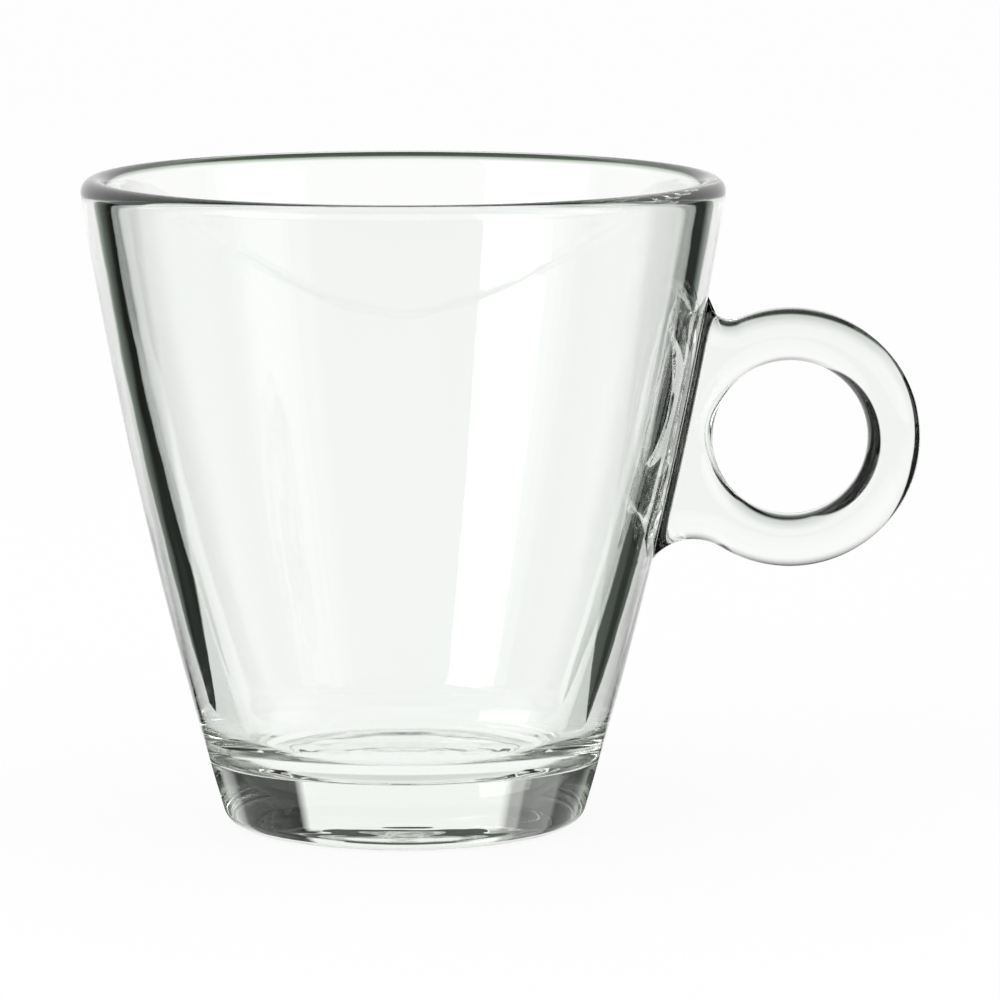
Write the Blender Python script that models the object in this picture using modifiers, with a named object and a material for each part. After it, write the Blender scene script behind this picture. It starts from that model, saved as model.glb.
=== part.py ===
"""Tea glass: a thick pressed glass bowl with a round finger ring fused to its wall.

Metres, +Z up. The glass stands on Z = 0, the ring points along +X, and the origin
lies on the table below the middle of the whole glass.
"""

import math

import bmesh
import bpy
from mathutils import Vector

# Bowl
HEIGHT = 0.087
RIM_RADIUS = 0.043  # widest point of the rounded rim
LIP_RADIUS = 0.0018  # half the wall's thickness at the rim
FOOT_RADIUS = 0.0238  # where the outer wall would meet the table
WALL_BULGE = 0.0015  # how far the outer wall swells past a straight taper
HEEL_RADIUS = 0.0025
FLOOR_HEIGHT = 0.0092
FLOOR_RADIUS = 0.0211  # where the inner wall would meet the floor
INNER_BULGE = 0.0019  # how far the inner wall swells past a straight taper
FLOOR_CORNER = 0.008
PUNT_RADIUS = 0.0175  # hollow under the foot
PUNT_DEPTH = 0.0034

# Ring handle
RING_HEIGHT = 0.052
RING_OFFSET = 0.01475  # from the outer wall to the centre of the ring
RING_RADIUS = 0.01747
HOLE_RADIUS = 0.01041
RING_THICKNESS = 0.0075
EDGE_FLAT = 0.0007  # left of the thickness along the ring's edges
OUTLINE_ROUNDING = 0.0036  # how far the rounding reaches in from the outline
HOLE_ROUNDING = 0.0024
UPPER_FILLET = 0.003  # between the ring's outline and the wall
LOWER_FILLET = 0.007
LOWER_SINK = 0.0006  # how far the lower fillet would run into the wall, which it meets at an angle
ROOT_FLARE = 0.0012  # how far the root spreads on each side of the ring
ROOT_REACH = 0.0014  # how far from the wall it begins to spread
SEAT_GAP = 0.0003  # between the root and the wall

# Facets
TURN_STEPS = 64
WALL_STEPS = 10
ROUND_STEPS = 6
RING_STEPS = 40
ROOT_STEPS = 14
SECTION_STEPS = 10
MERGE_DISTANCE = 0.00001


def arc(centre, radius, start, end, steps):
    """Points of an arc in the XZ plane, both ends included, angles in radians."""
    angles = [start + (end - start) * step / steps for step in range(steps + 1)]
    return [centre + radius * Vector((math.cos(angle), math.sin(angle))) for angle in angles]


def angle_of(vector):
    return math.atan2(vector.y, vector.x)


class WallArc:
    """The arc from the middle of the lip to a lower point, swollen outward by the bulge."""

    def __init__(self, lower, bulge):
        self.lip = Vector((RIM_RADIUS - LIP_RADIUS, HEIGHT - LIP_RADIUS))
        chord = self.lip - lower
        self.radius = chord.length_squared / (8 * bulge) + bulge / 2
        inward = Vector((-chord.y, chord.x)).normalized()
        self.centre = (self.lip + lower) / 2 + inward * (self.radius - bulge)
        self.lip_angle = angle_of(self.lip - self.centre)

    def corner(self, surface, plane, radius):
        """Centre of the rounding between a surface of the wall and a level plane."""
        level = plane + radius
        reach = math.sqrt((surface - radius) ** 2 - (level - self.centre.y) ** 2)
        return Vector((self.centre.x + reach, level))


OUTER_WALL = WallArc(Vector((FOOT_RADIUS - LIP_RADIUS, 0)), WALL_BULGE)
OUTER_SURFACE = OUTER_WALL.radius + LIP_RADIUS
INNER_WALL = WallArc(Vector((FLOOR_RADIUS + LIP_RADIUS, FLOOR_HEIGHT)), INNER_BULGE)
INNER_SURFACE = INNER_WALL.radius - LIP_RADIUS


def wall_radius(height):
    """Radius of the bowl's outer surface at a height."""
    rise = height - OUTER_WALL.centre.y
    return OUTER_WALL.centre.x + math.sqrt(OUTER_SURFACE**2 - rise**2)


def fillet_centre(radius, sink, side):
    """Centre of the fillet between the ring's outline and the wall, above (1) or below (-1) the ring."""
    to_ring = RING_CENTRE - OUTER_WALL.centre
    ring_reach = RING_RADIUS + radius
    wall_reach = OUTER_SURFACE - sink + radius
    along = (to_ring.length_squared + wall_reach**2 - ring_reach**2) / (2 * to_ring.length)
    across = math.sqrt(wall_reach**2 - along**2)
    axis = to_ring.normalized()
    return OUTER_WALL.centre + along * axis + side * across * Vector((-axis.y, axis.x))


RING_CENTRE = Vector((wall_radius(RING_HEIGHT) + RING_OFFSET, RING_HEIGHT))
FILLETS = [
    (fillet_centre(UPPER_FILLET, 0, 1), UPPER_FILLET, 1),
    (fillet_centre(LOWER_FILLET, LOWER_SINK, -1), LOWER_FILLET, -1),
]


def bowl_profile():
    """Half section from the middle of the floor, over the rim, to the middle of the punt."""
    down = -math.pi / 2
    floor_corner = INNER_WALL.corner(INNER_SURFACE, FLOOR_HEIGHT, FLOOR_CORNER)
    floor_angle = angle_of(floor_corner - INNER_WALL.centre)
    heel = OUTER_WALL.corner(OUTER_SURFACE, 0, HEEL_RADIUS)
    heel_angle = angle_of(heel - OUTER_WALL.centre)
    punt_sphere = (PUNT_RADIUS**2 + PUNT_DEPTH**2) / (2 * PUNT_DEPTH)
    punt_centre = Vector((0, PUNT_DEPTH - punt_sphere))
    punt_edge = angle_of(Vector((PUNT_RADIUS, 0)) - punt_centre)
    lip_inside = INNER_WALL.lip_angle + math.pi

    points = [Vector((0, FLOOR_HEIGHT))]
    points += arc(floor_corner, FLOOR_CORNER, down, floor_angle, ROUND_STEPS)
    points += arc(INNER_WALL.centre, INNER_SURFACE, floor_angle, INNER_WALL.lip_angle, WALL_STEPS)[1:]
    points += arc(INNER_WALL.lip, LIP_RADIUS, lip_inside, OUTER_WALL.lip_angle, 2 * ROUND_STEPS)[1:]
    points += arc(OUTER_WALL.centre, OUTER_SURFACE, OUTER_WALL.lip_angle, heel_angle, WALL_STEPS)[1:]
    points += arc(heel, HEEL_RADIUS, heel_angle, down, ROUND_STEPS)[1:]
    points += arc(punt_centre, punt_sphere, punt_edge, math.pi / 2, ROUND_STEPS)
    return points


def fillet_arc(centre, radius, side):
    """Points of a fillet from the ring's outline to the seat on the wall."""
    seat = OUTER_SURFACE + SEAT_GAP
    wall_reach = (centre - OUTER_WALL.centre).length
    run_out = math.acos((wall_reach**2 + radius**2 - seat**2) / (2 * wall_reach * radius))
    start = angle_of(RING_CENTRE - centre)
    sweep = (RING_CENTRE - centre).angle(OUTER_WALL.centre - centre) - run_out
    return arc(centre, radius, start, start - side * sweep, ROUND_STEPS)


def root_line(upper, lower):
    """Points down the seat between the two fillets, closer together towards its tips."""
    heights = []
    for step in range(1, ROOT_STEPS):
        share = (1 - math.cos(math.pi * step / ROOT_STEPS)) / 2
        heights.append(upper.y + share * (lower.y - upper.y))
    return [Vector((wall_radius(height) + SEAT_GAP, height)) for height in heights]


def ring_outline():
    """Closed outline of the handle from below, round the ring, then down the seat.

    Each entry holds the outline's point and the matching point of the finger hole.
    """
    upper, lower = (fillet_arc(*fillet) for fillet in FILLETS)
    first = angle_of(lower[0] - RING_CENTRE)
    last = angle_of(upper[0] - RING_CENTRE)
    ring = arc(RING_CENTRE, RING_RADIUS, first, last, RING_STEPS)
    neck = upper + root_line(upper[-1], lower[-1]) + lower[::-1]

    outline = [(point, angle_of(point - RING_CENTRE)) for point in ring[:-1]]
    lengths = [(after - before).length for before, after in zip(neck, neck[1:])]
    turn = first + 2 * math.pi - last
    travelled = 0
    for point, length in zip(neck, lengths):
        outline.append((point, last + turn * travelled / sum(lengths)))
        travelled += length
    return [(point, arc(RING_CENTRE, HOLE_RADIUS, angle, angle, 1)[0]) for point, angle in outline]


def free_distance(point):
    """Distance of a point of the handle from its free outline, the ring's or a fillet's."""
    offset = point - RING_CENTRE
    distances = [(point - centre).length - radius for centre, radius, side in FILLETS
                 if side * (centre - RING_CENTRE).cross(offset) > 0]
    if len(distances) < len(FILLETS):
        distances.append(RING_RADIUS - offset.length)
    return min(distances)


def round_share(distance, reach):
    """Share of the way over a rounding, from 0 at its edge to 1 where it has run out."""
    short = min(1, max(0, 1 - distance / reach))
    return math.sqrt(1 - short**2)


def half_thickness(point):
    """Half of the handle's thickness at a point, rounded at its edges and flared at the root."""
    from_hole = (point - RING_CENTRE).length - HOLE_RADIUS
    from_seat = (point - OUTER_WALL.centre).length - OUTER_SURFACE - SEAT_GAP
    rounding = round_share(free_distance(point), OUTLINE_ROUNDING) * round_share(from_hole, HOLE_ROUNDING)
    flare = ROOT_FLARE * (1 - round_share(from_seat, ROOT_REACH))
    return EDGE_FLAT / 2 + ((RING_THICKNESS - EDGE_FLAT) / 2 + flare) * rounding


def ring_section(outer, hole):
    """Closed section of the handle between its finger hole and its outline.

    Its points lie at their own distance from the bowl's axis, so that the root fits the round wall.
    """
    shares = [(1 + math.cos(math.pi * step / SECTION_STEPS)) / 2 for step in range(SECTION_STEPS + 1)]
    front = [(point, half_thickness(point)) for point in (outer.lerp(hole, share) for share in shares)]
    edge = half_thickness(outer)
    middle = [(outer, edge / 2), (outer, 0), (outer, -edge / 2)]
    back = [(point, -width) for point, width in reversed(front)]
    section = []
    for point, width in front + middle + back:
        reach = math.sqrt(point.x**2 - width**2)
        section.append(Vector((reach - RING_CENTRE.x, width, point.y - RING_CENTRE.y)))
    return section


def glass(name, colour):
    material = bpy.data.materials.new(name)
    material.use_nodes = True
    shader = material.node_tree.nodes["Principled BSDF"]
    shader.inputs["Base Color"].default_value = colour
    shader.inputs["Roughness"].default_value = 0.02
    shader.inputs["Metallic"].default_value = 0
    shader.inputs["IOR"].default_value = 1.52
    shader.inputs["Transmission Weight"].default_value = 1
    return material


def add_part(name, mesh, material, parent, location):
    part = bpy.data.objects.new(name, mesh)
    part.parent = parent
    part.location = location
    part.data.materials.append(material)
    parent.users_collection[0].objects.link(part)
    return part


def make_bowl(parent):
    """Bowl turned from its half section."""
    mesh = bpy.data.meshes.new("bowl")
    profile = [(point.x, 0, point.y) for point in bowl_profile()]
    edges = [(index, index + 1) for index in range(len(profile) - 1)]
    mesh.from_pydata(profile, edges, [])
    bowl = add_part("bowl", mesh, glass("bowl_glass", (0.95, 0.98, 0.96, 1)), parent, (0, 0, 0))
    turn = bowl.modifiers.new("turn", "SCREW")
    turn.axis = "Z"
    turn.steps = TURN_STEPS
    turn.render_steps = TURN_STEPS
    turn.use_merge_vertices = True
    turn.merge_threshold = MERGE_DISTANCE
    turn.use_smooth_shade = True


def make_ring_handle(parent):
    """Ring handle, lofted through its sections round the finger hole."""
    shape = bmesh.new()
    sections = [ring_section(outer, hole) for outer, hole in ring_outline()]
    loops = [[shape.verts.new(point) for point in section] for section in sections]
    for loop, following in zip(loops, loops[1:] + loops[:1]):
        for index in range(len(loop)):
            previous = index - 1
            shape.faces.new((loop[previous], loop[index], following[index], following[previous]))
    bmesh.ops.recalc_face_normals(shape, faces=shape.faces)
    mesh = bpy.data.meshes.new("ring_handle")
    shape.to_mesh(mesh)
    shape.free()
    mesh.shade_smooth()
    mesh.set_sharp_from_angle(angle=math.radians(35))
    location = (RING_CENTRE.x, 0, RING_CENTRE.y)
    add_part("ring_handle", mesh, glass("ring_glass", (0.94, 0.98, 0.96, 1)), parent, location)


def main():
    for item in list(bpy.data.objects):
        bpy.data.objects.remove(item)
    collection = bpy.data.collections.new("tea_glass")
    bpy.context.scene.collection.children.link(collection)
    axis = bpy.data.objects.new("bowl_axis", None)
    collection.objects.link(axis)
    reach = RING_CENTRE.x + RING_RADIUS
    axis.location.x = (RIM_RADIUS - reach) / 2
    make_bowl(axis)
    make_ring_handle(axis)


main()
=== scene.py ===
"""Tea glass: clear pressed glass bowl and finger ring, lit on a pale studio floor."""

import math

import bmesh
import bpy
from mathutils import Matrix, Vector, noise


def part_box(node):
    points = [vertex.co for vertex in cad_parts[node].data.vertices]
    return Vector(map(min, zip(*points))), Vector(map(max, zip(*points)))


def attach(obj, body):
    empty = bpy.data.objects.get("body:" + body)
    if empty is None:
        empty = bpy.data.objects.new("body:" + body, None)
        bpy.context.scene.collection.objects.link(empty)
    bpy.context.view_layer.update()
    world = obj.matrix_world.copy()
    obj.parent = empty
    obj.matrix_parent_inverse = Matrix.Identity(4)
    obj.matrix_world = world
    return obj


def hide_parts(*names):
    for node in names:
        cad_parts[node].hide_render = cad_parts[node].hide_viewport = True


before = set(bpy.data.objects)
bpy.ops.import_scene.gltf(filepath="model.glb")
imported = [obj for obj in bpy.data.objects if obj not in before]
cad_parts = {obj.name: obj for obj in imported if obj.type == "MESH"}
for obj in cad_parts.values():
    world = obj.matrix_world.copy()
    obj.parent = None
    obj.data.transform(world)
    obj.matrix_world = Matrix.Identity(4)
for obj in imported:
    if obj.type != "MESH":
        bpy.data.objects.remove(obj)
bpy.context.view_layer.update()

# Bowl sizes, in metres, as in the solids
BOWL_LOW, BOWL_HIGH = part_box("bowl")
AXIS_X = (BOWL_LOW.x + BOWL_HIGH.x) / 2
RIM_RADIUS = (BOWL_HIGH.x - BOWL_LOW.x) / 2
HEIGHT = BOWL_HIGH.z
LIP_RADIUS = 0.0018
FOOT_RADIUS = 0.0238
WALL_BULGE = 0.0015
INNER_BULGE = 0.0019
HEEL_RADIUS = 0.0025
FLOOR_HEIGHT = 0.0092
FLOOR_RADIUS = 0.0211
FLOOR_CORNER = 0.008
PUNT_RADIUS = 0.0175
PUNT_DEPTH = 0.0034

# Ring handle sizes
RING_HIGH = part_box("ring_handle")[1]
RING_RADIUS = 0.01747
RING_CENTRE = Vector((RING_HIGH.x - AXIS_X - RING_RADIUS, 0.052))
HOLE_RADIUS = 0.01041
RING_THICKNESS = 0.0075
EDGE_FLAT = 0.0007  # left of the thickness along the ring's edges
OUTLINE_ROUNDING = 0.0036  # how far the rounding reaches in from the outline
HOLE_ROUNDING = 0.0024
UPPER_FILLET = 0.003
LOWER_FILLET = 0.007
LOWER_SINK = 0.0006  # how far the lower fillet would run into the wall, which it meets at an angle
ROOT_FLARE = 0.0012  # how far the root spreads on each side of the ring
ROOT_REACH = 0.0014  # how far from the wall it begins to spread
SEAM_GAP = 0.00002  # the fused seam, too thin to see
WIDEST_ROOT = 0.2  # most of a row's radius that half of the root takes up

# Ripples that the plunger and the mould left on the floor and in the punt
RING_RIPPLE = 0.00003
RING_RIPPLE_LENGTH = 0.004
CHILL_RIPPLE = 0.00006
CHILL_RIPPLE_SIZE = 0.003
RIPPLE_MARGIN = 0.002  # how far from its edge a ripple starts

# Fineness of the meshes
TURN_STEPS = 180
SECTOR_ANGLE = math.radians(22)  # part of the wall whose columns follow the root
SECTOR_STEPS = 12
ACROSS_STEPS = 10
WALL_STEPS = 36
ROUND_STEPS = 14
FLOOR_STEPS = 48
RING_STEPS = 120
ROOT_STEPS = 44
SECTION_STEPS = 40
SHARP_ANGLE = math.radians(50)

# Glass; each noise has its cells in a metre and its octaves
IOR = 1.52
WHITE = (1, 1, 1, 1)
BOWL_POLISH = (0, 0.003)  # least and most roughness of the fire-polished skin
RING_POLISH = (0.005, 0.008)  # just dull enough that its rays don't count as singular
POLISH_NOISE = (60, 2)
LIP_BAND = (0.0018, 0.0026)  # the lip is a trace rougher down to here
LIP_ROUGHNESS = 0.0024
LIP_NOISE = (400, 3)
LIP_LEAST = 0.5  # share of the wear that the noise leaves everywhere
SCUFF_HEIGHT = 0.0004  # the foot is scuffed up to here
SCUFF_ROUGHNESS = 0.3
SCUFF_NOISE = (900, 4)
BOWL_WAVES = 0.000025  # depth of the broad waves in the walls
RING_WAVES = 0.000015
WAVE_NOISE = (110, 1)
CHILL_DEPTH = 0.000001  # depth of the fine chill marks
CHILL_NOISE = (700, 2)
TINT_NOISE = (25, 2)
PALE_TINT = (0.995, 1, 0.995, 1)
DEEP_TINT = (0.983, 1, 0.981, 1)
ABSORPTION_COLOUR = (0.88, 0.92, 0.85, 1)
ABSORPTION_DENSITY = 10

# Studio. A level is what glass sees of the floor or the room: painted light and shade that glass
# alone shows, where the camera itself sees white.
# Levels go by degrees to the right of straight behind, where no other measure is given.
FLOOR_SIZE = 2
FLOOR_DROP = 0.00005  # keeps the floor clear of the foot's face
FLOOR_COLOUR = (0.9, 0.9, 0.9, 1)
FLOOR_ROUGHNESS = 0.9
SHADOW_SHARE = 0.1  # share of the floor's white that the object's shadow can take
FOOT_REACH = 0.03  # painted light: the floor that shows through the scuffed foot is white out to here for its dull rays
PAINTED_FLAG_TINT = (0.87, 1, 0.87, 1)  # green of the darkest painted floor that glass shows
# Green of the painted dark floor that polished rays show through a single wall, as at the lip
LIP_TINT = (0.74, 1, 0.7, 1)
# Painted dark floor that shows through a single wall and its lip
LIP_REACH = ((0, 0), (0.085, 0), (0.1, 1), (2, 1))  # by distance from the axis
# By the slope of the ray
LIP_STEEP_LEVELS = ((-90, 0.07), (-32, 0.07), (-29, 0.5), (-16, 1), (0, 1))
# Edges of the painted dark flags on the floor, painted reflections that only glass shows: where
# each begins, from the bowl's axis, and the level by the angle from there
LEFT_EDGE = (-0.043, 0.034)
LEFT_EDGE_LEVELS = ((-180, 0.02), (-55, 0.02), (-47, 0.005), (-43, 0.005), (-41, 0.05),
                    (-38.5, 0.1), (-35, 0.18), (-31, 0.27), (-29.5, 0.4), (-28, 1), (180, 1))
LEFT_END = (-0.046, 0.025)
LEFT_END_LEVELS = ((-180, 0.95), (-73, 0.95), (-68, 0.1), (-65, 0), (75, 0), (95, 0.95),
                   (180, 0.95))
RIGHT_EDGE = (0.039, 0.015)
RIGHT_EDGE_LEVELS = ((-180, 1), (23.5, 1), (25, 0.13), (29, 0.12), (31.5, 0.06), (34, 0.025),
                     (43, 0.03), (47, 0.09), (66, 0.11), (90, 0.11), (110, 0.3), (180, 0.4))
RIGHT_END = (0.04, 0.019)
RIGHT_END_LEVELS = ((-180, 0.8), (-100, 0.8), (-80, 0), (78, 0), (82, 0.8), (180, 0.8))
DIRECT_LEFT = (-0.048, 0.034)
DIRECT_LEFT_LEVELS = ((-180, 1), (-42, 1), (-35, 0.05), (-24, 0.05), (-22, 1), (180, 1))
DIRECT_RIGHT = (0.038, 0.038)
DIRECT_RIGHT_LEVELS = ((-180, 1), (18.5, 1), (20.5, 0.18), (27, 0.22), (33, 0.08), (37, 0.03),
                       (41, 0.03), (48, 1), (180, 1))
# How far the painted flags show straight through the walls, by distance from the axis
DIRECT_REACH = ((0, 0), (0.045, 0), (0.055, 0.5), (0.085, 0.5), (0.12, 0.3), (0.3, 0.3), (0.4, 0.8),
                (2, 0.8))
# Painted reflection: what the glass's outer face mirrors of the floor, by the angle of the place
# round the bowl's axis
FACE_LEVELS = ((-180, 0.3), (-145, 0.5), (-135, 1), (-108, 1), (-98, 0.5), (-85, 0.1),
               (-75, 0.04), (-46, 0.04), (-38, 1), (38, 1), (46, 0.04), (72, 0.04), (82, 0.1),
               (92, 0.6), (100, 1), (125, 1), (140, 0.5), (180, 0.3))
# Painted reflection of the floor that walls mirror, darker for steep rays
MIRRORED_STEEP_LEVELS = ((-90, 0.85), (-40, 0.85), (-22, 1), (0, 1))
# Painted reflection of the floor, darker in front: by metres behind the axis
FRONT_LEVELS = ((-2, 0.05), (-0.3, 0.05), (-0.17, 0.6), (0.06, 1), (2, 1))
INNER_MIRRORS = 2  # reflections inside the glass after which a ray comes from far round it and sees the floor painted darker
INNER_SHARE = 0.1  # share of the painted floor's level that is left to it
# Painted reflection: the room's sides as glass alone sees them, with dark flags
WORLD_LEVELS = ((-180, 0.7), (-140, 0.7), (-100, 0.15), (-80, 0.5), (-70, 0.5), (-62, 0.1),
                (-57, 0), (-44, 0), (-43, 0.2), (-33.5, 0.2), (-32.5, 0.18), (-29.5, 0.18),
                (-29, 0.42), (-24.5, 0.42), (-23.5, 1), (22, 1), (23, 0), (50, 0), (53, 0.25),
                (58, 0.5), (64, 0.8), (80, 0.5), (100, 0.15), (140, 0.7), (180, 0.7))
BOWL_SIDES = 1  # painted level of the room's sides that the bowl's own face mirrors
RING_CROSSINGS = 2  # surfaces that a ray passes on its way through the ring
# Top of the painted dark flags in the room, and its softness
PAINTED_FLAG_TOP = math.radians(22)
PAINTED_FLAG_SOFTNESS = math.radians(6)
RING_PAINTED_FLAG_TOP = math.radians(45)
# What the ring shows of the painted light and shade: by a ray's slope to the floor, by its rise to
# the room and by angle from the ring
RING_STEEP_LEVELS = ((-90, 0.01), (-44, 0.01), (-41, 0.3), (-39, 0.62), (-33, 0.75), (-27, 0.87),
                     (-18, 0.97), (0, 1))
RING_RISE_LEVELS = ((-90, 1), (24, 1), (33, 0.85), (39, 0.65), (46, 0.5), (50, 0.3), (56, 0.2),
                    (90, 0.2))
RING_SPREAD = 0.011  # by how much the ring's bright field widens for each degree that a ray rises
# Painted dark card that only the ring's dull rays see, on the floor and in the room: its level by
# angle
PAINTED_CARD_ANGLES = ((-180, 0.005), (-36.5, 0.005), (-33.5, 1), (18, 1), (21, 0.005), (180, 0.005))
PAINTED_CARD_START = ((-2, 0), (0.021, 0), (0.03, 1), (2, 1))  # where the painted card starts, by metres behind the axis
# Painted ceiling that glass alone sees, by angle
CEILING_LEVELS = ((-180, 0.35), (-120, 0.35), (-70, 1), (70, 1), (120, 0.35), (180, 0.35))
MIRRORED_CEILING = 0.25  # share of the painted ceiling's level that shows in the first surface
# Soft lamps in front of the glass: degrees to the right of straight behind, width and radiance
SOFTBOXES = {
    "key": (-132, 0.4, 3),
    "key_edge": (-113, 0.13, 0.9),
    "key_fade": (-103.5, 0.13, 0.45),
    "fill": (117, 0.3, 0.8),
    "fill_edge": (133, 0.15, 0.4),
    "fill_fade": (101, 0.15, 0.4),
}
SOFTBOX_DISTANCE = 0.8
SOFTBOX_ELEVATION = math.radians(18)
SOFTBOX_HEIGHT = 0.5

# Camera
CAMERA_DISTANCE = 0.7982
CAMERA_HEIGHT = 0.1577
CAMERA_X = 0.01287
CAMERA_PITCH = math.radians(8.147)
SENSOR_WIDTH = 36
FOCAL_PIXELS = 6004
IMAGE_PIXELS = 1000

# Bounces that clear glass needs
GLASS_BOUNCES = 24
MIRROR_BOUNCES = 16


def arc(centre, radius, start, end, steps):
    """Points of an arc in the XZ plane, both ends included, angles in radians."""
    angles = [start + (end - start) * step / steps for step in range(steps + 1)]
    return [centre + radius * Vector((math.cos(angle), math.sin(angle))) for angle in angles]


def angle_of(vector):
    return math.atan2(vector.y, vector.x)


def line(start, end, steps):
    return [start.lerp(end, step / steps) for step in range(steps + 1)]


class WallArc:
    """The arc from the middle of the lip to a lower point, swollen outward by the bulge."""

    def __init__(self, lower, bulge):
        self.lip = Vector((RIM_RADIUS - LIP_RADIUS, HEIGHT - LIP_RADIUS))
        chord = self.lip - lower
        self.radius = chord.length_squared / (8 * bulge) + bulge / 2
        inward = Vector((-chord.y, chord.x)).normalized()
        self.centre = (self.lip + lower) / 2 + inward * (self.radius - bulge)
        self.lip_angle = angle_of(self.lip - self.centre)

    def corner(self, surface, plane, radius):
        """Centre of the rounding between a surface of the wall and a level plane."""
        level = plane + radius
        reach = math.sqrt((surface - radius) ** 2 - (level - self.centre.y) ** 2)
        return Vector((self.centre.x + reach, level))


OUTER_WALL = WallArc(Vector((FOOT_RADIUS - LIP_RADIUS, 0)), WALL_BULGE)
OUTER_SURFACE = OUTER_WALL.radius + LIP_RADIUS
INNER_WALL = WallArc(Vector((FLOOR_RADIUS + LIP_RADIUS, FLOOR_HEIGHT)), INNER_BULGE)
INNER_SURFACE = INNER_WALL.radius - LIP_RADIUS


def wall_radius(height):
    """Radius of the bowl's outer surface at a height."""
    rise = height - OUTER_WALL.centre.y
    return OUTER_WALL.centre.x + math.sqrt(OUTER_SURFACE**2 - rise**2)


def wall_angle(height):
    """Angle on the outer wall's arc at a height."""
    return math.asin((height - OUTER_WALL.centre.y) / OUTER_SURFACE)


def fillet_centre(radius, sink, side):
    """Centre of the fillet between the ring's outline and the wall, above (1) or below (-1) it."""
    to_ring = RING_CENTRE - OUTER_WALL.centre
    ring_reach = RING_RADIUS + radius
    wall_reach = OUTER_SURFACE - sink + radius
    along = (to_ring.length_squared + wall_reach**2 - ring_reach**2) / (2 * to_ring.length)
    across = math.sqrt(wall_reach**2 - along**2)
    axis = to_ring.normalized()
    return OUTER_WALL.centre + along * axis + side * across * Vector((-axis.y, axis.x))


FILLETS = [
    (fillet_centre(UPPER_FILLET, 0, 1), UPPER_FILLET, 1),
    (fillet_centre(LOWER_FILLET, LOWER_SINK, -1), LOWER_FILLET, -1),
]


def fillet_arc(centre, radius, side):
    """Points of a fillet from the ring's outline to the seam on the wall."""
    seam = OUTER_SURFACE + SEAM_GAP
    wall_reach = (centre - OUTER_WALL.centre).length
    run_out = math.acos((wall_reach**2 + radius**2 - seam**2) / (2 * wall_reach * radius))
    start = angle_of(RING_CENTRE - centre)
    sweep = (RING_CENTRE - centre).angle(OUTER_WALL.centre - centre) - run_out
    return arc(centre, radius, start, start - side * sweep, ROUND_STEPS)


UPPER, LOWER = (fillet_arc(*fillet) for fillet in FILLETS)
ROOT_TOP = UPPER[-1].y
ROOT_BOTTOM = LOWER[-1].y


def root_heights():
    """Heights down the root from tip to tip, closer together towards the tips."""
    shares = [(1 - math.cos(math.pi * step / ROOT_STEPS)) / 2 for step in range(ROOT_STEPS + 1)]
    return [ROOT_TOP + share * (ROOT_BOTTOM - ROOT_TOP) for share in shares]


def free_distance(point):
    """Distance of a point of the handle from its free outline, the ring's or a fillet's."""
    offset = point - RING_CENTRE
    distances = [(point - centre).length - radius for centre, radius, side in FILLETS
                 if side * (centre - RING_CENTRE).cross(offset) > 0]
    if len(distances) < len(FILLETS):
        distances.append(RING_RADIUS - offset.length)
    return min(distances)


def round_share(distance, reach):
    """Share of the way over a rounding, from 0 at its edge to 1 where it has run out."""
    short = min(1, max(0, 1 - distance / reach))
    return math.sqrt(1 - short**2)


def half_thickness(point):
    """Half of the handle's thickness at a point, rounded at its edges and flared at the root."""
    from_hole = (point - RING_CENTRE).length - HOLE_RADIUS
    from_seat = (point - OUTER_WALL.centre).length - OUTER_SURFACE - SEAM_GAP
    rounding = round_share(free_distance(point), OUTLINE_ROUNDING)
    rounding *= round_share(from_hole, HOLE_ROUNDING)
    flare = ROOT_FLARE * (1 - round_share(from_seat, ROOT_REACH))
    return EDGE_FLAT / 2 + ((RING_THICKNESS - EDGE_FLAT) / 2 + flare) * rounding


def root_half(height):
    """Half width of the root on the wall at a height."""
    if not ROOT_BOTTOM < height < ROOT_TOP:
        return EDGE_FLAT / 2
    return half_thickness(Vector((wall_radius(height) + SEAM_GAP, height)))


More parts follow.
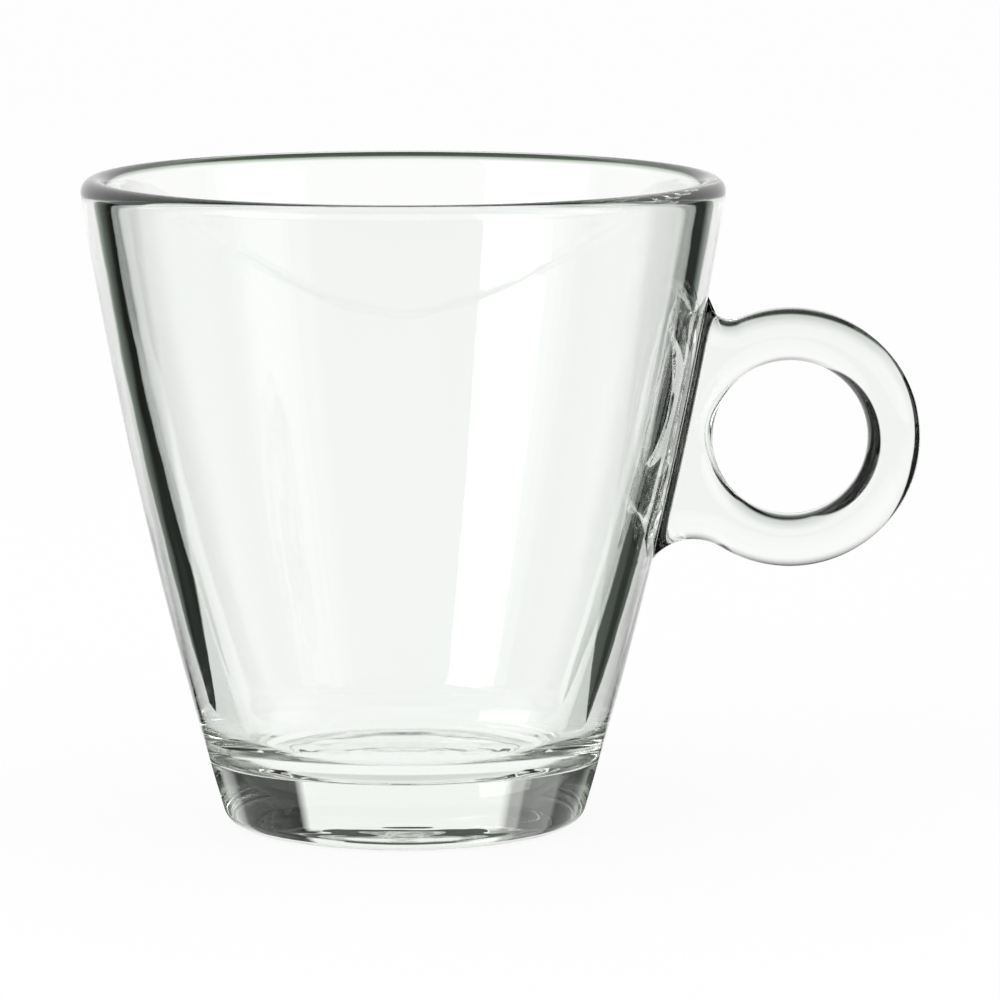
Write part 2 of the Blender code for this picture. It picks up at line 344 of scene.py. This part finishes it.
def bowl_rows():
    """Half section from the middle of the floor, over the rim, to the middle of the punt."""
    down = -math.pi / 2
    floor_corner = INNER_WALL.corner(INNER_SURFACE, FLOOR_HEIGHT, FLOOR_CORNER)
    floor_angle = angle_of(floor_corner - INNER_WALL.centre)
    heel = OUTER_WALL.corner(OUTER_SURFACE, 0, HEEL_RADIUS)
    heel_angle = angle_of(heel - OUTER_WALL.centre)
    punt_sphere = (PUNT_RADIUS**2 + PUNT_DEPTH**2) / (2 * PUNT_DEPTH)
    punt_centre = Vector((0, PUNT_DEPTH - punt_sphere))
    punt_edge = angle_of(Vector((PUNT_RADIUS, 0)) - punt_centre)
    lip_inside = INNER_WALL.lip_angle + math.pi
    upper_end = wall_angle(ROOT_TOP)
    lower_start = wall_angle(ROOT_BOTTOM)

    rows = line(Vector((0, FLOOR_HEIGHT)), Vector((floor_corner.x, FLOOR_HEIGHT)), FLOOR_STEPS)
    rows += arc(floor_corner, FLOOR_CORNER, down, floor_angle, ROUND_STEPS)[1:]
    rows += arc(INNER_WALL.centre, INNER_SURFACE, floor_angle, INNER_WALL.lip_angle,
                2 * WALL_STEPS)[1:]
    rows += arc(INNER_WALL.lip, LIP_RADIUS, lip_inside, OUTER_WALL.lip_angle, 2 * ROUND_STEPS)[1:]
    rows += arc(OUTER_WALL.centre, OUTER_SURFACE, OUTER_WALL.lip_angle, upper_end,
                WALL_STEPS // 2)[1:-1]
    rows += [Vector((wall_radius(height), height)) for height in root_heights()]
    rows += arc(OUTER_WALL.centre, OUTER_SURFACE, lower_start, heel_angle, WALL_STEPS)[1:]
    rows += arc(heel, HEEL_RADIUS, heel_angle, down, ROUND_STEPS)[1:]
    rows += line(Vector((heel.x, 0)), Vector((PUNT_RADIUS, 0)), ROUND_STEPS // 2)[1:]
    rows += arc(punt_centre, punt_sphere, punt_edge, math.pi / 2, FLOOR_STEPS)[1:]
    return rows


def ripple(radius, angle, edge, seed):
    """Height of the ripples at a place on a round face, level at its edge."""
    share = min(1, max(0, (edge - radius) / RIPPLE_MARGIN))
    place = Vector((radius * math.cos(angle), radius * math.sin(angle), seed)) / CHILL_RIPPLE_SIZE
    chill = noise.noise(place) * min(1, radius / RIPPLE_MARGIN)
    rings = math.cos(2 * math.pi * radius / RING_RIPPLE_LENGTH)
    return share * (RING_RIPPLE * rings + CHILL_RIPPLE * chill)


def row_angles(row):
    """Angles of a row's points: across the root first, then round the bowl and back."""
    half = root_half(row.y) if row.x > wall_radius(row.y) - LIP_RADIUS else EDGE_FLAT / 2
    tip = math.asin(min(WIDEST_ROOT, half / row.x))
    angles = [tip * (2 * step / ACROSS_STEPS - 1) for step in range(ACROSS_STEPS + 1)]
    side = [tip + (SECTOR_ANGLE - tip) * step / SECTOR_STEPS for step in range(1, SECTOR_STEPS)]
    rest = 2 * (math.pi - SECTOR_ANGLE)
    angles += side
    angles += [SECTOR_ANGLE + rest * step / TURN_STEPS for step in range(TURN_STEPS + 1)]
    angles += [2 * math.pi - angle for angle in reversed(side)]
    return angles


def finish_mesh(name, shape, seam_faces, wear):
    """Object from a mesh, its seam faces marked as no outer surface and its wear kept by kind."""
    shape.faces.index_update()
    seam = {face.index for face in seam_faces}
    mesh = bpy.data.meshes.new(name)
    shape.to_mesh(mesh)
    shape.free()
    surface = mesh.attributes.new("surface", "FLOAT", "FACE")
    for index, value in enumerate(surface.data):
        value.value = 0 if index in seam else 1
    for kind, amounts in wear.items():
        attribute = mesh.attributes.new(kind, "FLOAT", "POINT")
        for value, amount in zip(attribute.data, amounts):
            value.value = amount
    mesh.shade_smooth()
    mesh.set_sharp_from_angle(angle=SHARP_ANGLE)
    piece = bpy.data.objects.new(name, mesh)
    piece.location.x = AXIS_X
    bpy.context.scene.collection.objects.link(piece)
    return piece


def lip_wear(row):
    """Share of the lip's wear at a row of the bowl."""
    low, high = LIP_BAND
    return min(1, max(0, (high - HEIGHT + row.y) / (high - low)))


def foot_wear(row):
    """Share of the foot's scuffing at a row of the bowl."""
    return max(0, 1 - row.y / SCUFF_HEIGHT) if row.x > PUNT_RADIUS - SCUFF_HEIGHT else 0


def make_bowl():
    """Bowl as rows round its axis; the patch below the root is part of the seam."""
    shape = bmesh.new()
    rings = []
    wear = {"worn": [], "scuffed": []}
    rows = bowl_rows()
    for index, row in enumerate(rows):
        edge = 0
        if index < FLOOR_STEPS:
            edge = rows[FLOOR_STEPS].x
        elif index >= len(rows) - FLOOR_STEPS:
            edge = PUNT_RADIUS
        angles = row_angles(row) if row.x > SEAM_GAP else [0]
        ring = []
        for angle in angles:
            height = row.y + ripple(row.x, angle, edge, row.y)
            ring.append(shape.verts.new((row.x * math.cos(angle), row.x * math.sin(angle), height)))
        rings.append(ring)
        wear["worn"] += [lip_wear(row)] * len(ring)
        wear["scuffed"] += [foot_wear(row)] * len(ring)

    seam = []
    for row, ring, below in zip(rows, rings, rings[1:]):
        columns = max(len(ring), len(below))
        outside = row.x > wall_radius(row.y) - SEAM_GAP
        at_root = outside and ROOT_BOTTOM + SEAM_GAP < row.y < ROOT_TOP + SEAM_GAP
        for column in range(columns):
            after = (column + 1) % columns
            corners = [ring[column % len(ring)], ring[after % len(ring)]]
            corners += [below[after % len(below)], below[column % len(below)]]
            face = shape.faces.new(dict.fromkeys(corners))
            if at_root and column < ACROSS_STEPS:
                seam.append(face)
    bmesh.ops.recalc_face_normals(shape, faces=shape.faces)
    return finish_mesh("clear_bowl", shape, seam, wear)


def ring_outline():
    """Closed outline of the handle: its points, the hole's points and which lie on the wall."""
    first = angle_of(LOWER[0] - RING_CENTRE)
    last = angle_of(UPPER[0] - RING_CENTRE)
    ring = arc(RING_CENTRE, RING_RADIUS, first, last, RING_STEPS)[:-1]
    seat = [Vector((wall_radius(height) + SEAM_GAP, height)) for height in root_heights()]
    neck = [(point, False) for point in UPPER[:-1]]
    neck += [(point, True) for point in seat]
    neck += [(point, False) for point in LOWER[-2::-1]]

    outline = [(point, angle_of(point - RING_CENTRE), False) for point in ring]
    lengths = [(after[0] - before[0]).length for before, after in zip(neck, neck[1:])]
    turn = first + 2 * math.pi - last
    travelled = 0
    for (point, seated), length in zip(neck, lengths):
        outline.append((point, last + turn * travelled / sum(lengths), seated))
        travelled += length
    return [(point, arc(RING_CENTRE, HOLE_RADIUS, angle, angle, 1)[0], seated)
            for point, angle, seated in outline]


def ring_section(outer, hole):
    """Closed section of the handle from its finger hole to its outline, across it and back."""
    shares = [(1 + math.cos(math.pi * step / SECTION_STEPS)) / 2
              for step in range(SECTION_STEPS + 1)]
    points = [outer.lerp(hole, share) for share in shares]
    front = [(point, -half_thickness(point)) for point in points]
    edge = half_thickness(outer)
    across = [(outer, edge * (2 * step / ACROSS_STEPS - 1)) for step in range(1, ACROSS_STEPS)]
    back = [(point, -width) for point, width in reversed(front)]
    return [(math.sqrt(point.x**2 - width**2), width, point.y)
            for point, width in front + across + back]


def make_ring_handle():
    """Ring handle, lofted round the finger hole; its root face is part of the seam."""
    shape = bmesh.new()
    loops = []
    for outer, hole, seated in ring_outline():
        loops.append(([shape.verts.new(point) for point in ring_section(outer, hole)], seated))

    seam = []
    root_face = range(SECTION_STEPS + 1, SECTION_STEPS + 1 + ACROSS_STEPS)
    for (loop, seated), (following, still_seated) in zip(loops, loops[1:] + loops[:1]):
        for index in range(len(loop)):
            previous = index - 1
            corners = (loop[previous], loop[index], following[index], following[previous])
            face = shape.faces.new(corners)
            if seated and still_seated and index in root_face:
                seam.append(face)
    bmesh.ops.recalc_face_normals(shape, faces=shape.faces)
    return finish_mesh("clear_ring_handle", shape, seam, {})


def value_of(links, socket, source):
    """Feed a socket from a node's output, or set it to a number or a colour."""
    if isinstance(source, (int, float, tuple)):
        socket.default_value = source
    else:
        links.new(source, socket)


def math_node(tree, operation, first, second=0):
    """Output of a math node on outputs or numbers."""
    node = tree.nodes.new("ShaderNodeMath")
    node.operation = operation
    value_of(tree.links, node.inputs[0], first)
    value_of(tree.links, node.inputs[1], second)
    return node.outputs[0]


def level_node(tree, value, levels):
    """Light level at a value, read between (value, level) pairs."""
    low, high = levels[0][0], levels[-1][0]
    share = tree.nodes.new("ShaderNodeMapRange")
    share.inputs["From Min"].default_value = low
    share.inputs["From Max"].default_value = high
    tree.links.new(value, share.inputs["Value"])
    ramp = tree.nodes.new("ShaderNodeValToRGB")
    tree.links.new(share.outputs["Result"], ramp.inputs["Fac"])
    stops = ramp.color_ramp.elements
    for index, (place, level) in enumerate(levels):
        position = (place - low) / (high - low)
        stop = stops[index] if index < 2 else stops.new(position)
        stop.position = position
        stop.color = (level, level, level, 1)
    return ramp.outputs["Color"]


def mix_level(tree, share, first, second):
    """Level between two levels."""
    difference = math_node(tree, "SUBTRACT", second, first)
    return math_node(tree, "ADD", first, math_node(tree, "MULTIPLY", share, difference))


def mix_colour(tree, share, first, second):
    """Colour between two colours."""
    mix = tree.nodes.new("ShaderNodeMix")
    mix.data_type = "RGBA"
    tree.links.new(share, mix.inputs["Factor"])
    for name, colour in (("A", first), ("B", second)):
        socket = next(side for side in mix.inputs if side.name == name and side.type == "RGBA")
        value_of(tree.links, socket, colour)
    return next(side for side in mix.outputs if side.type == "RGBA")


def azimuth_node(tree, across, behind):
    """Degrees to the right of straight behind."""
    return math_node(tree, "DEGREES", math_node(tree, "ARCTAN2", across, behind))


def length_node(tree, across, behind):
    """Length of a level offset."""
    squares = [math_node(tree, "MULTIPLY", side, side) for side in (across, behind)]
    return math_node(tree, "SQRT", math_node(tree, "ADD", *squares))


def noise_level(tree, scale, detail):
    """Noise in an object's own space, from 0 to 1."""
    node = tree.nodes.new("ShaderNodeTexNoise")
    node.inputs["Scale"].default_value = scale
    node.inputs["Detail"].default_value = detail
    tree.links.new(tree.nodes.new("ShaderNodeTexCoord").outputs["Object"], node.inputs["Vector"])
    return node.outputs["Fac"]


def attribute_level(tree, name):
    """Value of a mesh attribute."""
    node = tree.nodes.new("ShaderNodeAttribute")
    node.attribute_name = name
    return node.outputs["Fac"]


def glass_roughness(tree, polish):
    """Fire polish with faint clouds, a duller lip and a scuffed foot."""
    polish = mix_level(tree, noise_level(tree, *POLISH_NOISE), *polish)
    lip = math_node(tree, "ADD", noise_level(tree, *LIP_NOISE), LIP_LEAST)
    worn = math_node(tree, "MULTIPLY", attribute_level(tree, "worn"), LIP_ROUGHNESS)
    lip = math_node(tree, "MULTIPLY", lip, worn)
    foot = math_node(tree, "MULTIPLY", attribute_level(tree, "scuffed"), SCUFF_ROUGHNESS)
    foot = math_node(tree, "MULTIPLY", foot, noise_level(tree, *SCUFF_NOISE))
    return math_node(tree, "MAXIMUM", polish, math_node(tree, "MAXIMUM", lip, foot))


def glass_waves(tree, waves):
    """Normal of a pressed skin, with broad waves and fine chill marks."""
    broad = math_node(tree, "MULTIPLY", noise_level(tree, *WAVE_NOISE), waves)
    fine = math_node(tree, "MULTIPLY", noise_level(tree, *CHILL_NOISE), CHILL_DEPTH)
    bump = tree.nodes.new("ShaderNodeBump")
    bump.inputs["Distance"].default_value = 1
    tree.links.new(math_node(tree, "ADD", broad, fine), bump.inputs["Height"])
    return bump.outputs["Normal"]


def glass_material(name, waves, polish):
    """Clear soda-lime glass with a faint green body and a fire-polished skin."""
    material = bpy.data.materials.new(name)
    material.use_nodes = True
    tree = material.node_tree
    shader = tree.nodes["Principled BSDF"]
    shader.inputs["IOR"].default_value = IOR
    shader.inputs["Transmission Weight"].default_value = 1
    tint = mix_colour(tree, noise_level(tree, *TINT_NOISE), PALE_TINT, DEEP_TINT)
    tree.links.new(tint, shader.inputs["Base Color"])
    tree.links.new(attribute_level(tree, "surface"), shader.inputs["Alpha"])
    tree.links.new(glass_roughness(tree, polish), shader.inputs["Roughness"])
    tree.links.new(glass_waves(tree, waves), shader.inputs["Normal"])

    body = tree.nodes.new("ShaderNodeVolumeAbsorption")
    body.inputs["Color"].default_value = ABSORPTION_COLOUR
    body.inputs["Density"].default_value = ABSORPTION_DENSITY
    tree.links.new(body.outputs["Volume"], tree.nodes["Material Output"].inputs["Volume"])
    return material


def make_camera():
    """Camera at the photograph's viewing angle."""
    data = bpy.data.cameras.new("camera")
    data.sensor_width = SENSOR_WIDTH
    data.lens = FOCAL_PIXELS / IMAGE_PIXELS * SENSOR_WIDTH
    camera = bpy.data.objects.new("camera", data)
    camera.location = (AXIS_X + CAMERA_X, -CAMERA_DISTANCE, CAMERA_HEIGHT)
    camera.rotation_euler = (math.pi / 2 - CAMERA_PITCH, 0, 0)
    bpy.context.scene.collection.objects.link(camera)
    bpy.context.scene.camera = camera


def painted_card_level(tree, across, behind):
    """Level of a dark card painted on the floor behind the ring for the ring's dull rays, open
    towards the backdrop.
    """
    past_ring = math_node(tree, "SUBTRACT", across, RING_CENTRE.x)
    angles = level_node(tree, azimuth_node(tree, past_ring, behind), PAINTED_CARD_ANGLES)
    painted_dark_patch = math_node(tree, "MULTIPLY", angles, steep_level(tree, RING_STEEP_LEVELS))
    return mix_level(tree, level_node(tree, behind, PAINTED_CARD_START), 1, painted_dark_patch)


def edge_level(tree, across, behind, edge, levels):
    """Painted level by the angle at which a place lies from the near end of a painted flag's edge.
    """
    past = math_node(tree, "SUBTRACT", across, edge[0])
    beyond = math_node(tree, "SUBTRACT", behind, edge[1])
    return level_node(tree, azimuth_node(tree, past, beyond), levels)


def painted_flag_level(tree, across, behind):
    """Level of the floor where walls mirror it, with painted dark flags on both sides of the
    backdrop.
    """
    left = math_node(tree, "MAXIMUM",
                     edge_level(tree, across, behind, LEFT_EDGE, LEFT_EDGE_LEVELS),
                     edge_level(tree, across, behind, LEFT_END, LEFT_END_LEVELS))
    right = math_node(tree, "MAXIMUM",
                      edge_level(tree, across, behind, RIGHT_EDGE, RIGHT_EDGE_LEVELS),
                      edge_level(tree, across, behind, RIGHT_END, RIGHT_END_LEVELS))
    return math_node(tree, "MULTIPLY", left, right)


def painted_through_level(tree, across, behind):
    """Level of the floor that shows straight through the walls, with the same painted flags further
    out.
    """
    flags = math_node(tree, "MULTIPLY",
                      edge_level(tree, across, behind, DIRECT_LEFT, DIRECT_LEFT_LEVELS),
                      edge_level(tree, across, behind, DIRECT_RIGHT, DIRECT_RIGHT_LEVELS))
    reach = level_node(tree, length_node(tree, across, behind), DIRECT_REACH)
    return mix_level(tree, reach, 1, flags)


def painted_lip_level(tree, across, behind):
    """Level of the floor that shows through a single wall, painted dark where the lip bends rays
    down.
    """
    reach = level_node(tree, length_node(tree, across, behind), LIP_REACH)
    return mix_level(tree, reach, 1, steep_level(tree, LIP_STEEP_LEVELS))


def steep_level(tree, levels):
    """Level of the floor by the slope of the ray that meets it."""
    facing = tree.nodes.new("ShaderNodeLayerWeight").outputs["Facing"]
    slope = math_node(tree, "ARCSINE", math_node(tree, "SUBTRACT", facing, 1))
    return level_node(tree, math_node(tree, "DEGREES", slope), levels)


def make_floor():
    """White floor to the camera; for glass it is painted, and what glass mirrors of it and sees
    through the walls falls off to painted dark on both sides behind the bowl.
    """
    mesh = bpy.data.meshes.new("floor")
    shape = bmesh.new()
    bmesh.ops.create_grid(shape, x_segments=1, y_segments=1, size=FLOOR_SIZE)
    shape.to_mesh(mesh)
    shape.free()
    floor = bpy.data.objects.new("floor", mesh)
    floor.location.z = -FLOOR_DROP
    bpy.context.scene.collection.objects.link(floor)

    material = bpy.data.materials.new("floor")
    material.use_nodes = True
    tree = material.node_tree
    place = tree.nodes.new("ShaderNodeSeparateXYZ")
    tree.links.new(tree.nodes.new("ShaderNodeNewGeometry").outputs["Position"], place.inputs[0])
    across = math_node(tree, "SUBTRACT", place.outputs["X"], AXIS_X)
    behind = place.outputs["Y"]
    path = tree.nodes.new("ShaderNodeLightPath")
    mirrored = math_node(tree, "GREATER_THAN", path.outputs["Glossy Depth"], 0.5)
    crossings = path.outputs["Transmission Depth"]
    few = math_node(tree, "LESS_THAN", crossings, RING_CROSSINGS + 0.5)
    on_face = math_node(tree, "LESS_THAN", crossings, 0.5)
    inner = math_node(tree, "GREATER_THAN", path.outputs["Glossy Depth"], INNER_MIRRORS - 0.5)
    inner = math_node(tree, "MULTIPLY", inner, few)
    once_through = math_node(tree, "MAXIMUM", math_node(tree, "SUBTRACT", few, mirrored), 0)
    face = level_node(tree, azimuth_node(tree, across, behind), FACE_LEVELS)
    walls = mix_level(tree, on_face, painted_flag_level(tree, across, behind), face)
    walls = mix_level(tree, inner, walls, math_node(tree, "MULTIPLY", walls, INNER_SHARE))
    front = math_node(tree, "MULTIPLY", level_node(tree, behind, FRONT_LEVELS),
                      steep_level(tree, MIRRORED_STEEP_LEVELS))
    walls = math_node(tree, "MULTIPLY", walls, front)
    polished = path.outputs["Is Singular Ray"]
    painted_dark_patch, lip = painted_card_level(tree, across, behind), painted_lip_level(tree, across, behind)
    once = mix_level(tree, polished, painted_dark_patch, lip)
    level = mix_level(tree, once_through, painted_through_level(tree, across, behind), once)
    level = mix_level(tree, mirrored, level, walls)
    under_foot = math_node(tree, "LESS_THAN", length_node(tree, across, behind), FOOT_REACH)
    under_foot = math_node(tree, "MULTIPLY", under_foot, math_node(tree, "SUBTRACT", 1, polished))
    level = math_node(tree, "MAXIMUM", level, under_foot)
    level = mix_level(tree, path.outputs["Is Camera Ray"], level, 1)

    # The floor glows white to the camera and with its painted levels for glass, as painted
    # reflections
    glow = tree.nodes.new("ShaderNodeEmission")
    tree.links.new(level, glow.inputs["Strength"])
    by_lip = math_node(tree, "MULTIPLY", polished, once_through)
    tint = mix_colour(tree, by_lip, PAINTED_FLAG_TINT, LIP_TINT)
    tree.links.new(mix_colour(tree, level, tint, WHITE), glow.inputs["Color"])
    lit = tree.nodes["Principled BSDF"]
    lit.inputs["Base Color"].default_value = FLOOR_COLOUR
    lit.inputs["Roughness"].default_value = FLOOR_ROUGHNESS
    mixed = tree.nodes.new("ShaderNodeMixShader")
    shaded = math_node(tree, "MULTIPLY", path.outputs["Is Camera Ray"], SHADOW_SHARE)
    tree.links.new(shaded, mixed.inputs["Fac"])
    tree.links.new(glow.outputs["Emission"], mixed.inputs[1])
    tree.links.new(lit.outputs["BSDF"], mixed.inputs[2])
    tree.links.new(mixed.outputs["Shader"], tree.nodes["Material Output"].inputs["Surface"])
    mesh.materials.append(material)


def ring_field(tree, azimuth, rise):
    """Painted level of the backdrop behind the ring."""
    degrees = math_node(tree, "DEGREES", rise)
    narrowed = math_node(tree, "SUBTRACT", 1, math_node(tree, "MULTIPLY", degrees, RING_SPREAD))
    field = level_node(tree, math_node(tree, "MULTIPLY", azimuth, narrowed), PAINTED_CARD_ANGLES)
    return math_node(tree, "MULTIPLY", field, level_node(tree, degrees, RING_RISE_LEVELS))


def make_world():
    """White room; glass alone sees it painted: a bright backdrop with painted dark flags on both
    sides of it.
    """
    world = bpy.data.worlds.new("studio")
    bpy.context.scene.world = world
    world.use_nodes = True
    tree = world.node_tree
    way = tree.nodes.new("ShaderNodeSeparateXYZ")
    tree.links.new(tree.nodes.new("ShaderNodeTexCoord").outputs["Generated"], way.inputs[0])
    path = tree.nodes.new("ShaderNodeLightPath")
    few = math_node(tree, "LESS_THAN", path.outputs["Transmission Depth"], RING_CROSSINGS + 0.5)
    first = math_node(tree, "LESS_THAN", path.outputs["Transmission Depth"], 0.5)
    mirrored = math_node(tree, "GREATER_THAN", path.outputs["Glossy Depth"], 0.5)
    polished = path.outputs["Is Singular Ray"]
    through_ring = math_node(tree, "MAXIMUM", math_node(tree, "SUBTRACT", few, mirrored), 0)
    dull = math_node(tree, "SUBTRACT", 1, polished)
    through_ring = math_node(tree, "MULTIPLY", through_ring, dull)
    rise = math_node(tree, "ARCSINE", way.outputs["Z"])
    top = mix_level(tree, few, PAINTED_FLAG_TOP, RING_PAINTED_FLAG_TOP)
    past_top = math_node(tree, "DIVIDE", math_node(tree, "SUBTRACT", rise, top), PAINTED_FLAG_SOFTNESS)
    above = math_node(tree, "MINIMUM", math_node(tree, "MAXIMUM", past_top, 0), 1)
    azimuth = azimuth_node(tree, way.outputs["X"], way.outputs["Y"])
    ceiling = level_node(tree, azimuth, CEILING_LEVELS)
    ceiling = math_node(tree, "MULTIPLY", ceiling, mix_level(tree, first, 1, MIRRORED_CEILING))
    on_bowl = math_node(tree, "MULTIPLY", first, polished)
    sides = mix_level(tree, on_bowl, level_node(tree, azimuth, WORLD_LEVELS), BOWL_SIDES)
    level = mix_level(tree, above, sides, ceiling)
    level = mix_level(tree, through_ring, level, ring_field(tree, azimuth, rise))
    in_glass = math_node(tree, "MAXIMUM", path.outputs["Is Glossy Ray"],
                         path.outputs["Is Transmission Ray"])
    strength = mix_level(tree, in_glass, 1, level)
    tree.links.new(strength, tree.nodes["Background"].inputs["Strength"])
    tree.nodes["Background"].inputs["Color"].default_value = WHITE


def make_softbox(name, azimuth, width, radiance):
    """Soft lamp in front of the glass; its image lies on the wall's far side."""
    data = bpy.data.lights.new(name, "AREA")
    data.shape = "RECTANGLE"
    data.size = width
    data.size_y = SOFTBOX_HEIGHT
    data.energy = radiance * math.pi * width * SOFTBOX_HEIGHT
    lamp = bpy.data.objects.new(name, data)
    direction = Vector((math.sin(azimuth) * math.cos(SOFTBOX_ELEVATION),
                        math.cos(azimuth) * math.cos(SOFTBOX_ELEVATION),
                        math.sin(SOFTBOX_ELEVATION)))
    lamp.location = Vector((AXIS_X, 0, HEIGHT / 2)) + direction * SOFTBOX_DISTANCE
    lamp.rotation_euler = direction.to_track_quat("Z", "Y").to_euler()
    bpy.context.scene.collection.objects.link(lamp)


bowl = make_bowl()
bowl.data.materials.append(glass_material("bowl_glass_clear", BOWL_WAVES, BOWL_POLISH))
ring = make_ring_handle()
ring.data.materials.append(glass_material("ring_glass_clear", RING_WAVES, RING_POLISH))
for piece, node, slot in ((bowl, "bowl", "bowl_glass"), (ring, "ring_handle", "ring_glass")):
    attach(piece, "root")
    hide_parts(node)
make_camera()
make_floor()
make_world()
for name, (degrees, width, radiance) in SOFTBOXES.items():
    make_softbox(name, math.radians(degrees), width, radiance)
bpy.context.scene.view_settings.view_transform = "Standard"
bpy.context.scene.cycles.max_bounces = GLASS_BOUNCES
bpy.context.scene.cycles.transmission_bounces = GLASS_BOUNCES
bpy.context.scene.cycles.glossy_bounces = MIRROR_BOUNCES
bpy.context.scene.cycles.transparent_max_bounces = MIRROR_BOUNCES
